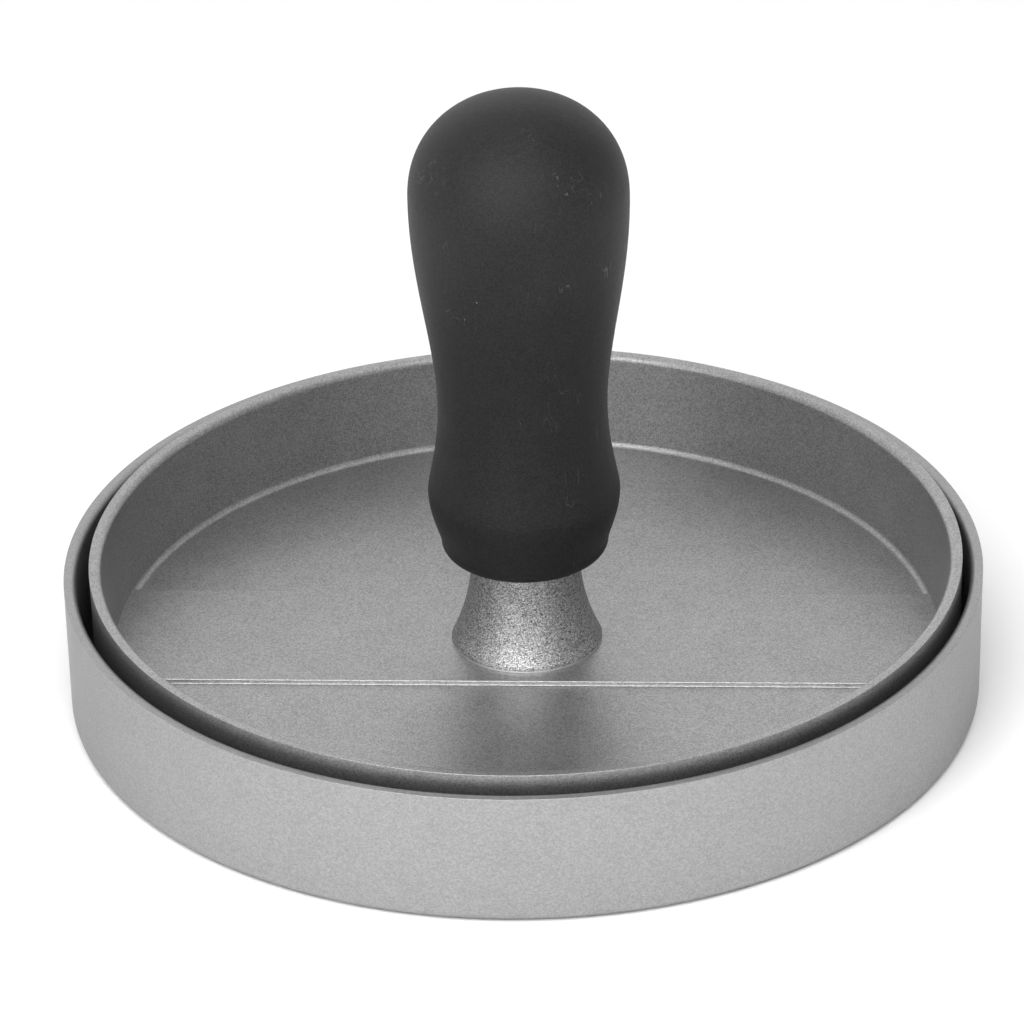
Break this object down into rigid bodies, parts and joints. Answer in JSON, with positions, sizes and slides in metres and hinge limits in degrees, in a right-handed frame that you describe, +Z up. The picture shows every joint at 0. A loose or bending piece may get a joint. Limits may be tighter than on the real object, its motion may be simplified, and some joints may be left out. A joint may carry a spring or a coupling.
{
  "type": "patty press",
  "caption": "Round patty press: a shallow cast dish with ribs on its floor, and a dished press plate that drops into it, lifted by a waisted black grip on a flared collar.",
  "frame": {"origin": "centre of the face that the base stands on", "axes": "+Z up along the press's axis, +X along the raised band across the press plate"},
  "size_m": [0.1254, 0.1254, 0.0895],
  "materials": {
    "coated_pan": "fine speckled grey non-stick coating, satin",
    "coated_plate": "fine speckled grey non-stick coating, satin",
    "coated_collar": "coarse sparkling grey coating",
    "grip_plastic": "finely textured matte black",
    "insert_brass": "machined",
    "screw_steel": "bright",
    "washer_steel": "bright"
  },
  "bodies": {
    "base": {"base_pan": "coated_pan"},
    "press_axis": {"flared_collar": "coated_collar"},
    "press": {"press_plate": "coated_plate", "handle_grip": "grip_plastic", "handle_insert": "insert_brass", "fixing_screw": "screw_steel", "lock_washer": "washer_steel"}
  },
  "joints": [
    {"name": "press_lift", "type": "slide", "parent": "base", "child": "press_axis", "axis": [0, 0, 1], "range_m": [0, 0.06]},
    {"name": "press_turn", "type": "hinge", "parent": "press_axis", "child": "press", "pos_m": [0.00035, 0, 0.03], "axis": [0, 0, 1], "continuous": true}
  ]
}
